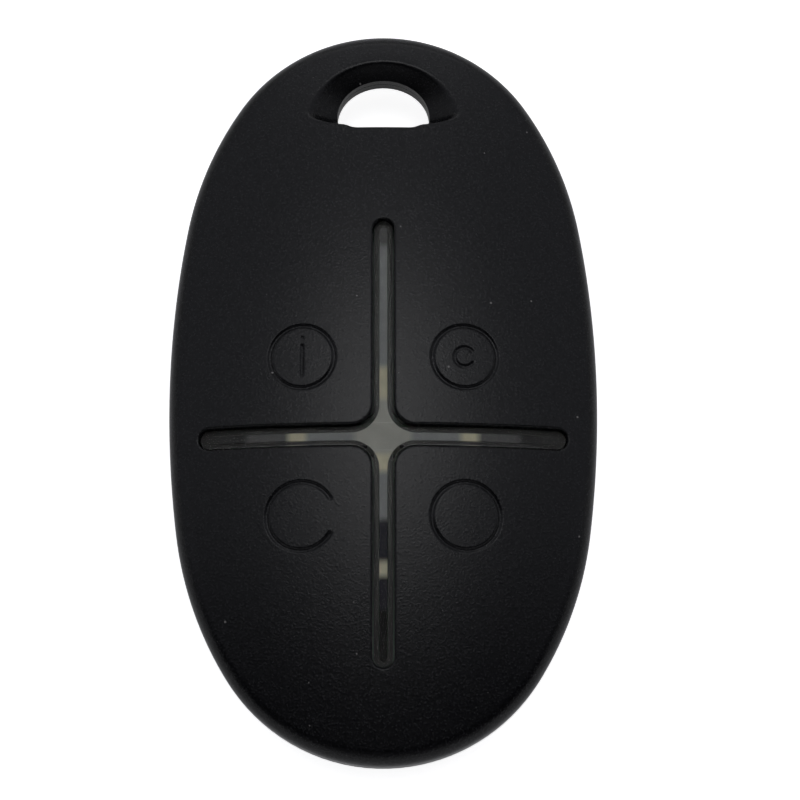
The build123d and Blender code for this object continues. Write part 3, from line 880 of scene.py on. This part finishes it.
class FobSettings(bpy.types.PropertyGroup):
    """Sizes and colours of the fob."""

    slot_edge: bpy.props.FloatProperty(
        name="Slot edge", description="Rounding of the cross slot's edge",
        default=0.2 * MM, min=0.05 * MM, unit="LENGTH")
    groove_half: bpy.props.FloatProperty(
        name="Groove half width", description="Half the width of a key mark's groove",
        default=0.29 * MM, min=0.1 * MM, unit="LENGTH")
    groove_depth: bpy.props.FloatProperty(
        name="Groove depth", description="Depth of a key mark's groove",
        default=0.15 * MM, min=0.02 * MM, unit="LENGTH")
    grain: bpy.props.FloatProperty(
        name="Grain", description="Width of the case's spark-eroded grain",
        default=0.18 * MM, min=0.05 * MM, unit="LENGTH")
    grain_strength: bpy.props.FloatProperty(
        name="Grain strength", description="How much the grain tilts the surface",
        default=0.48, min=0.0, max=1.0, subtype="FACTOR")
    plastic_dark: bpy.props.StringProperty(
        name="Plastic, dark", description="Darker tone of the case, sRGB hex", default="#050506")
    plastic_light: bpy.props.StringProperty(
        name="Plastic, light", description="Lighter tone of the case, sRGB hex", default="#0F0F11")
    dust: bpy.props.StringProperty(
        name="Dust", description="Tone of the dust specks on the case, sRGB hex", default="#6E6C6A")


class StageSettings(bpy.types.PropertyGroup):
    """Camera and light."""

    camera_tilt: bpy.props.FloatProperty(
        name="Camera tilt", description="Lean of the view from the face's normal",
        default=math.radians(12.86), subtype="ANGLE")
    camera_distance: bpy.props.FloatProperty(
        name="Camera distance", description="From the middle of the cross",
        default=168.08 * MM, unit="LENGTH")
    pixels_per_mm: bpy.props.FloatProperty(
        name="Scale", description="Pixels a millimetre at the middle of the cross", default=12.0)
    lamp_lean: bpy.props.FloatProperty(
        name="Lamp lean", description="Lean of the soft lamp from straight up",
        default=math.radians(12.5), subtype="ANGLE")
    lamp_spread: bpy.props.FloatProperty(
        name="Lamp spread", description="Angle that the soft lamp covers",
        default=math.radians(23.0), subtype="ANGLE")
    lamp_strength: bpy.props.FloatProperty(
        name="Lamp strength", description="Strength of the soft lamp", default=0.45)
    fill_strength: bpy.props.FloatProperty(
        name="Fill strength", description="Strength of the low fill lamp", default=0.35)
    bright_wall: bpy.props.StringProperty(
        name="Bright wall", description="Tone of the room behind the fob, sRGB hex", default="#C4C6CE")
    dim_wall: bpy.props.StringProperty(
        name="Dim wall", description="Tone of the room before the fob, sRGB hex", default="#202022")
    low_wall: bpy.props.StringProperty(
        name="Low wall", description="Tone of the room low before the fob, sRGB hex", default="#808084")
    paper: bpy.props.StringProperty(
        name="Paper", description="Tone of the floor and the backdrop, sRGB hex", default="#E6E6E6")


# Operators

class FOB_OT_face(bpy.types.Operator):
    """Builds the face: the case's skin and the four key skins, parted from it where the keys flex"""

    bl_idname = "fob.face"
    bl_label = "Face and keys"

    def execute(self, context):
        settings = context.scene.fob_settings
        plan, outline, slot, hole = build_plan(settings)
        faces = triangles(plan, lambda x, y: face_points(x, y, outline, settings))
        points = np.array(plan.points)
        centres = np.array([points[f, :2].mean(axis=0) for f in faces])
        keep = inside(centres, outline) & ~inside(centres, hole) & ~inside(centres, slot[:, :2])
        bottom = under_z(points, outline, hole)
        plastic = moulded_black_abs("moulded_black_abs", settings)
        groups = {name: [] for name in ["case", *quadrants]}
        for face, centre, kept in zip(faces, centres, keep):
            if not kept:
                continue
            x, y = centre[0], centre[1] - cross_y
            owner = "case"
            if abs(x) * hinge_nx + abs(y) * hinge_ny < hinge_reach:
                owner = next(n for n, (sx, sy) in quadrants.items() if sx * x > 0 and sy * y > 0)
            groups[owner].append(upward(face, points))
        for name, group in groups.items():
            if not group:
                raise RuntimeError("no faces for " + name)
            piece = "front_skin" if name == "case" else "key_skin_" + name
            obj = skin_mesh(piece, plan.points, plan.normals, plan.walls, group, bottom)
            finish(obj, plastic)
            if name == "case":
                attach(obj, "case")
                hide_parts("front_cover")
                continue
            add_post(obj, name)
            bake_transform(obj)
            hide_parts("key_" + name)
        return {"FINISHED"}


def add_post(obj, name):
    """Adds the post under a key, which works its switch, to the key's mesh."""
    sx, sy = quadrants[name]
    reach = hinge_reach - post_lever
    centre = (sx * reach * hinge_nx, cross_y + sy * reach * hinge_ny)
    under = float(dome_z(centre[0], centre[1], face_wall)) + post_sink
    profile = [(post_radius * math.sin(a), post_tip_z + post_radius * (1 - math.cos(a)))
               for a in np.linspace(0.1, math.pi / 2, 6)]
    profile.append((post_radius, under))
    points, polys = lathe(profile, centre, post_sides)
    post = shell("key_post", [Vector(p) * MM for p in points], polys)
    with bpy.context.temp_override(active_object=obj, selected_editable_objects=[obj, post]):
        bpy.ops.object.join()


class FOB_OT_light_cross(bpy.types.Operator):
    """Builds the clear cross that shows in the slot, and its frosted core"""

    bl_idname = "fob.light_cross"
    bl_label = "Light cross"

    def execute(self, context):
        def below_face(depth):
            """Heights at a depth below the face."""
            return lambda flat: dome_z(flat[:, 0], flat[:, 1]) - depth

        rays = cross_rays(slot_half - guide_gap, slot_corner + guide_gap, slot_pitch)
        rows = []
        for k in range(guide_steps + 1):
            lean = math.pi / 2 * k / guide_steps
            fall = guide_recess + guide_edge * (1 - math.sin(lean))
            rows.append((guide_edge * (1 - math.cos(lean)), below_face(fall), lean))
        rows.append((guide_edge + guide_flat_inset, below_face(guide_recess - guide_crown), math.pi / 2))
        depth = guide_recess + guide_cap
        cap = ringed_prism("light_cross_cap", rays, rows, below_face(depth))
        finish(cap, clear_polycarbonate("clear_polycarbonate"))
        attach(cap, "case")
        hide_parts("light_guide")
        rays = cross_rays(stem_half, slot_corner + slot_half - stem_half, slot_pitch)
        sunk = depth + stem_sink
        rows = [(0.0, below_face(sunk), 0.0), (stem_inset, below_face(sunk - guide_crown), math.pi / 2)]
        core = ringed_prism("light_cross_core", rays, rows, lambda flat: np.full(len(flat), stem_bottom))
        finish(core, frosted_polycarbonate("frosted_polycarbonate"))
        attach(core, "case")
        return {"FINISHED"}


class FOB_OT_finishes(bpy.types.Operator):
    """Gives the pieces that come from the frame their finishes"""

    bl_idname = "fob.finishes"
    bl_label = "Finishes"

    def execute(self, context):
        settings = context.scene.fob_settings
        made = {
            # Moulded plastics: the case dull and grained, the guide clear, the rest with a plain soft sheen
            "case_plastic": moulded_black_abs("moulded_black_abs_back", settings, dust=False),
            "guide_plastic": clear_polycarbonate("clear_polycarbonate_spare"),
            "carrier_plastic": plain_moulding("black_abs_plain", "#101012", "#18181A", 0.6, 0.5, 1.54),
            "switch_plastic": plain_moulding("black_nylon", "#161616", "#1E1E1E", 0.4, 0.5, 1.53),
            "plunger_plastic": plain_moulding("beige_nylon", "#B8AE90", "#C8BEA0", 0.3, 0.45, 1.53),
            "cell_seal": plain_moulding("polypropylene_seal", "#94948E", "#A6A6A0", 0.5, 0.5, 1.49),
            "lamp_case": plain_moulding("white_lamp_body", "#D8D8D0", "#E6E6E0", 0.3, 0.35, 1.5),
            # Cast, pressed and fired parts: a soft yellow lens, dull resin and powder, a glossy green mask
            "lamp_lens": plain_moulding("phosphor_silicone", "#D6B450", "#E6C868", 0.2, 0.3, 1.41),
            "chip_resin": plain_moulding("moulded_epoxy", "#141414", "#202020", 0.2, 0.6, 1.55),
            "cell_filling": plain_moulding("pressed_powder", "#18181A", "#26262A", 0.2, 0.9, 1.5),
            "capacitor_body": plain_moulding("tan_ceramic", "#8A6A44", "#9E7C52", 0.2, 0.5, 1.6),
            "resistor_body": plain_moulding("film_on_ceramic", "#121214", "#1E1E22", 0.2, 0.45, 1.6),
            "board_laminate": plain_moulding("solder_mask_green", "#0C3A22", "#12482C", 0.8, 0.35, 1.5),
            # Metals: rolled sheet with stretched highlights, bright where plated, dark where blackened
            "spring_steel": brushed_metal("stainless_sheet", "#A8A8A4", "#C4C4C0", 0.3),
            "cell_steel": brushed_metal("nickel_plated_steel", "#B4B4B2", "#CFCFCC", 0.25),
            "crystal_can": brushed_metal("nickel_plated_can", "#B0B0AE", "#C8C8C4", 0.3),
            "screw_steel": brushed_metal("blackened_steel", "#1E1E20", "#34343A", 0.4),
            "track_copper": brushed_metal("bare_copper_track", "#B4703C", "#CC8A58", 0.35),
        }
        slots = {row["node"]: row["material_slot"] for row in frame["record"]["subparts"]}
        for node, obj in frame["nodes"].items():
            finish(obj, made[slots[node]])
        return {"FINISHED"}


# The stage, in metres; a glow of 1 is white to the camera
floor_radius = 2.5
floor_sides = 96
floor_glow = 0.88
wall_height = 0.9
wall_glow = 0.96
glossy_share = 0.25
fill_lean = math.radians(70)
fill_spread = math.radians(40)


def white_paper(name, tone, glow):
    """Matt backdrop paper, white to the camera and through clear plastic, and greyer in a glossy reflection.

    With the whole glow in its reflections the black case would get pale rims.
    """
    material, tree, shader, place = new_material(name)
    fibres = add_node(tree, "ShaderNodeTexNoise", {"Scale": 1 / (2 * MM), "Detail": 2.0}, Vector=place)
    add_node(tree, "ShaderNodeBump", {"Strength": 0.02, "Distance": 0.01 * MM}, shader.inputs["Normal"],
             Height=fibres)
    set_shader(shader, Base__Color=linear(tone), Roughness=1.0, Specular__IOR__Level=0.0)
    path = add_node(tree, "ShaderNodeLightPath")
    seen = add_node(tree, "ShaderNodeMath", {"operation": "MULTIPLY"}, _0=path.outputs["Is Glossy Ray"],
                    _1=glossy_share)
    for ray in ("Is Camera Ray", "Is Transmission Ray"):
        seen = add_node(tree, "ShaderNodeMath", {"operation": "MAXIMUM"}, _0=seen, _1=path.outputs[ray])
    power = add_node(tree, "ShaderNodeMath", {"operation": "MULTIPLY"}, _0=seen, _1=glow)
    glowing = add_node(tree, "ShaderNodeEmission", {"Color": (1, 1, 1, 1)}, Strength=power)
    out = next(n for n in tree.nodes if n.type == "OUTPUT_MATERIAL")
    add_node(tree, "ShaderNodeAddShader", None, out.inputs["Surface"], _0=shader, _1=glowing)
    return material


class FOB_OT_stage(bpy.types.Operator):
    """Sets the floor, the backdrop, the lamps, the room and the camera"""

    bl_idname = "fob.stage"
    bl_label = "Stage"

    def execute(self, context):
        scene, stage = context.scene, context.scene.fob_stage
        turns = [2 * math.pi * k / floor_sides for k in range(floor_sides)]
        edge = [(floor_radius * math.cos(a), floor_radius * math.sin(a), 0) for a in turns]
        after = [(k + 1) % floor_sides for k in range(floor_sides)]
        floor = shell("floor", [(0, 0, 0)] + edge, [(0, 1 + k, 1 + n) for k, n in enumerate(after)])
        finish(floor, white_paper("floor_paper", stage.paper, floor_glow))
        walls = [(k, k + floor_sides, n + floor_sides, n) for k, n in enumerate(after)]
        backdrop = shell("backdrop", edge + [(x, y, wall_height) for x, y, _ in edge], walls)
        finish(backdrop, white_paper("backdrop_paper", stage.paper, wall_glow))
        soft_lamp(scene, "soft_lamp", stage.lamp_strength, stage.lamp_spread, stage.lamp_lean)
        soft_lamp(scene, "fill_lamp", stage.fill_strength, fill_spread, fill_lean)
        set_room(scene, stage)
        set_camera(scene, stage)
        scene.view_settings.view_transform = "Standard"
        return {"FINISHED"}


def soft_lamp(scene, name, strength, spread, lean):
    """A broad, far lamp that leans from straight up towards the keyring end."""
    lamp = bpy.data.lights.new(name, "SUN")
    lamp.energy = strength
    lamp.angle = spread
    obj = bpy.data.objects.new(name, lamp)
    obj.matrix_world = Matrix.Rotation(-lean, 4, "X")
    scene.collection.objects.link(obj)


def set_room(scene, stage):
    """The room round the fob: bright behind it and dim before it, as the photograph's sheen shows."""
    world = bpy.data.worlds.new("studio_room")
    world.use_nodes = True
    tree = world.node_tree
    tree.nodes.clear()
    place = add_node(tree, "ShaderNodeTexCoord").outputs["Generated"]
    parts = add_node(tree, "ShaderNodeSeparateXYZ", Vector=place)
    depth = add_node(tree, "ShaderNodeMapRange", {"From Min": -1.0, "From Max": 1.0}, Value=parts.outputs[1])
    walls = add_node(tree, "ShaderNodeValToRGB",
                     {"stops": ((0.1, stage.low_wall), (0.2, stage.dim_wall), (0.43, stage.dim_wall),
                                (0.5, stage.bright_wall))}, Fac=depth)
    height = add_node(tree, "ShaderNodeMapRange", {"interpolation_type": "SMOOTHSTEP", "From Max": 0.4},
                      Value=parts.outputs[2])
    sky = add_node(tree, "ShaderNodeBackground", Color=walls, Strength=height)
    add_node(tree, "ShaderNodeOutputWorld", Surface=sky)
    scene.world = world


def set_camera(scene, stage):
    """The camera, so that the middle of the cross lands where the photograph has it."""
    frame_px, cross_px, cross_py, sensor = 800, 383.4, 434.3, 36.0
    focal_px = stage.pixels_per_mm * stage.camera_distance / MM
    lean = stage.camera_tilt
    middle = Vector((0, cross_y, float(dome_z(0.0, cross_y)))) * MM
    look = Vector((0, math.sin(lean), -math.cos(lean)))
    right = Vector((1, 0, 0))
    up = right.cross(look)
    off_x = (cross_px - frame_px / 2) / focal_px
    off_y = (frame_px / 2 - cross_py) / focal_px
    forward = (look - up * off_y - right * off_x).normalized()
    right = (right - forward * right.dot(forward)).normalized()
    up = right.cross(forward)
    data = bpy.data.cameras.new("camera")
    data.sensor_width = sensor
    data.lens = focal_px * sensor / frame_px
    data.clip_start = 0.01
    data.clip_end = 20
    camera = bpy.data.objects.new("camera", data)
    turned = Matrix((right, up, -forward)).transposed().to_4x4()
    camera.matrix_world = Matrix.Translation(middle - look * stage.camera_distance) @ turned
    scene.collection.objects.link(camera)
    scene.camera = camera


class FOB_PT_panel(bpy.types.Panel):
    """Lists the fob's operators and settings"""

    bl_idname = "FOB_PT_panel"
    bl_label = "Alarm key fob"
    bl_space_type = "VIEW_3D"
    bl_region_type = "UI"
    bl_category = "Key Fob"

    def draw(self, context):
        for operator in operators:
            self.layout.operator(operator.bl_idname)
        for group in (context.scene.fob_settings, context.scene.fob_stage):
            for key in group.__annotations__:
                self.layout.prop(group, key)


operators = (FOB_OT_face, FOB_OT_light_cross, FOB_OT_finishes, FOB_OT_stage)
classes = (FobSettings, StageSettings, *operators, FOB_PT_panel)


def register():
    """Registers the classes and attaches the settings to the scene."""
    for cls in classes:
        bpy.utils.register_class(cls)
    bpy.types.Scene.fob_settings = bpy.props.PointerProperty(type=FobSettings)
    bpy.types.Scene.fob_stage = bpy.props.PointerProperty(type=StageSettings)


def unregister():
    """Removes the settings and the classes."""
    del bpy.types.Scene.fob_settings
    del bpy.types.Scene.fob_stage
    for cls in reversed(classes):
        bpy.utils.unregister_class(cls)


def main():
    """Builds the fob and its stage."""
    register()
    bpy.ops.fob.finishes()
    bpy.ops.fob.face()
    bpy.ops.fob.light_cross()
    bpy.ops.fob.stage()


if __name__ == "__main__":
    main()
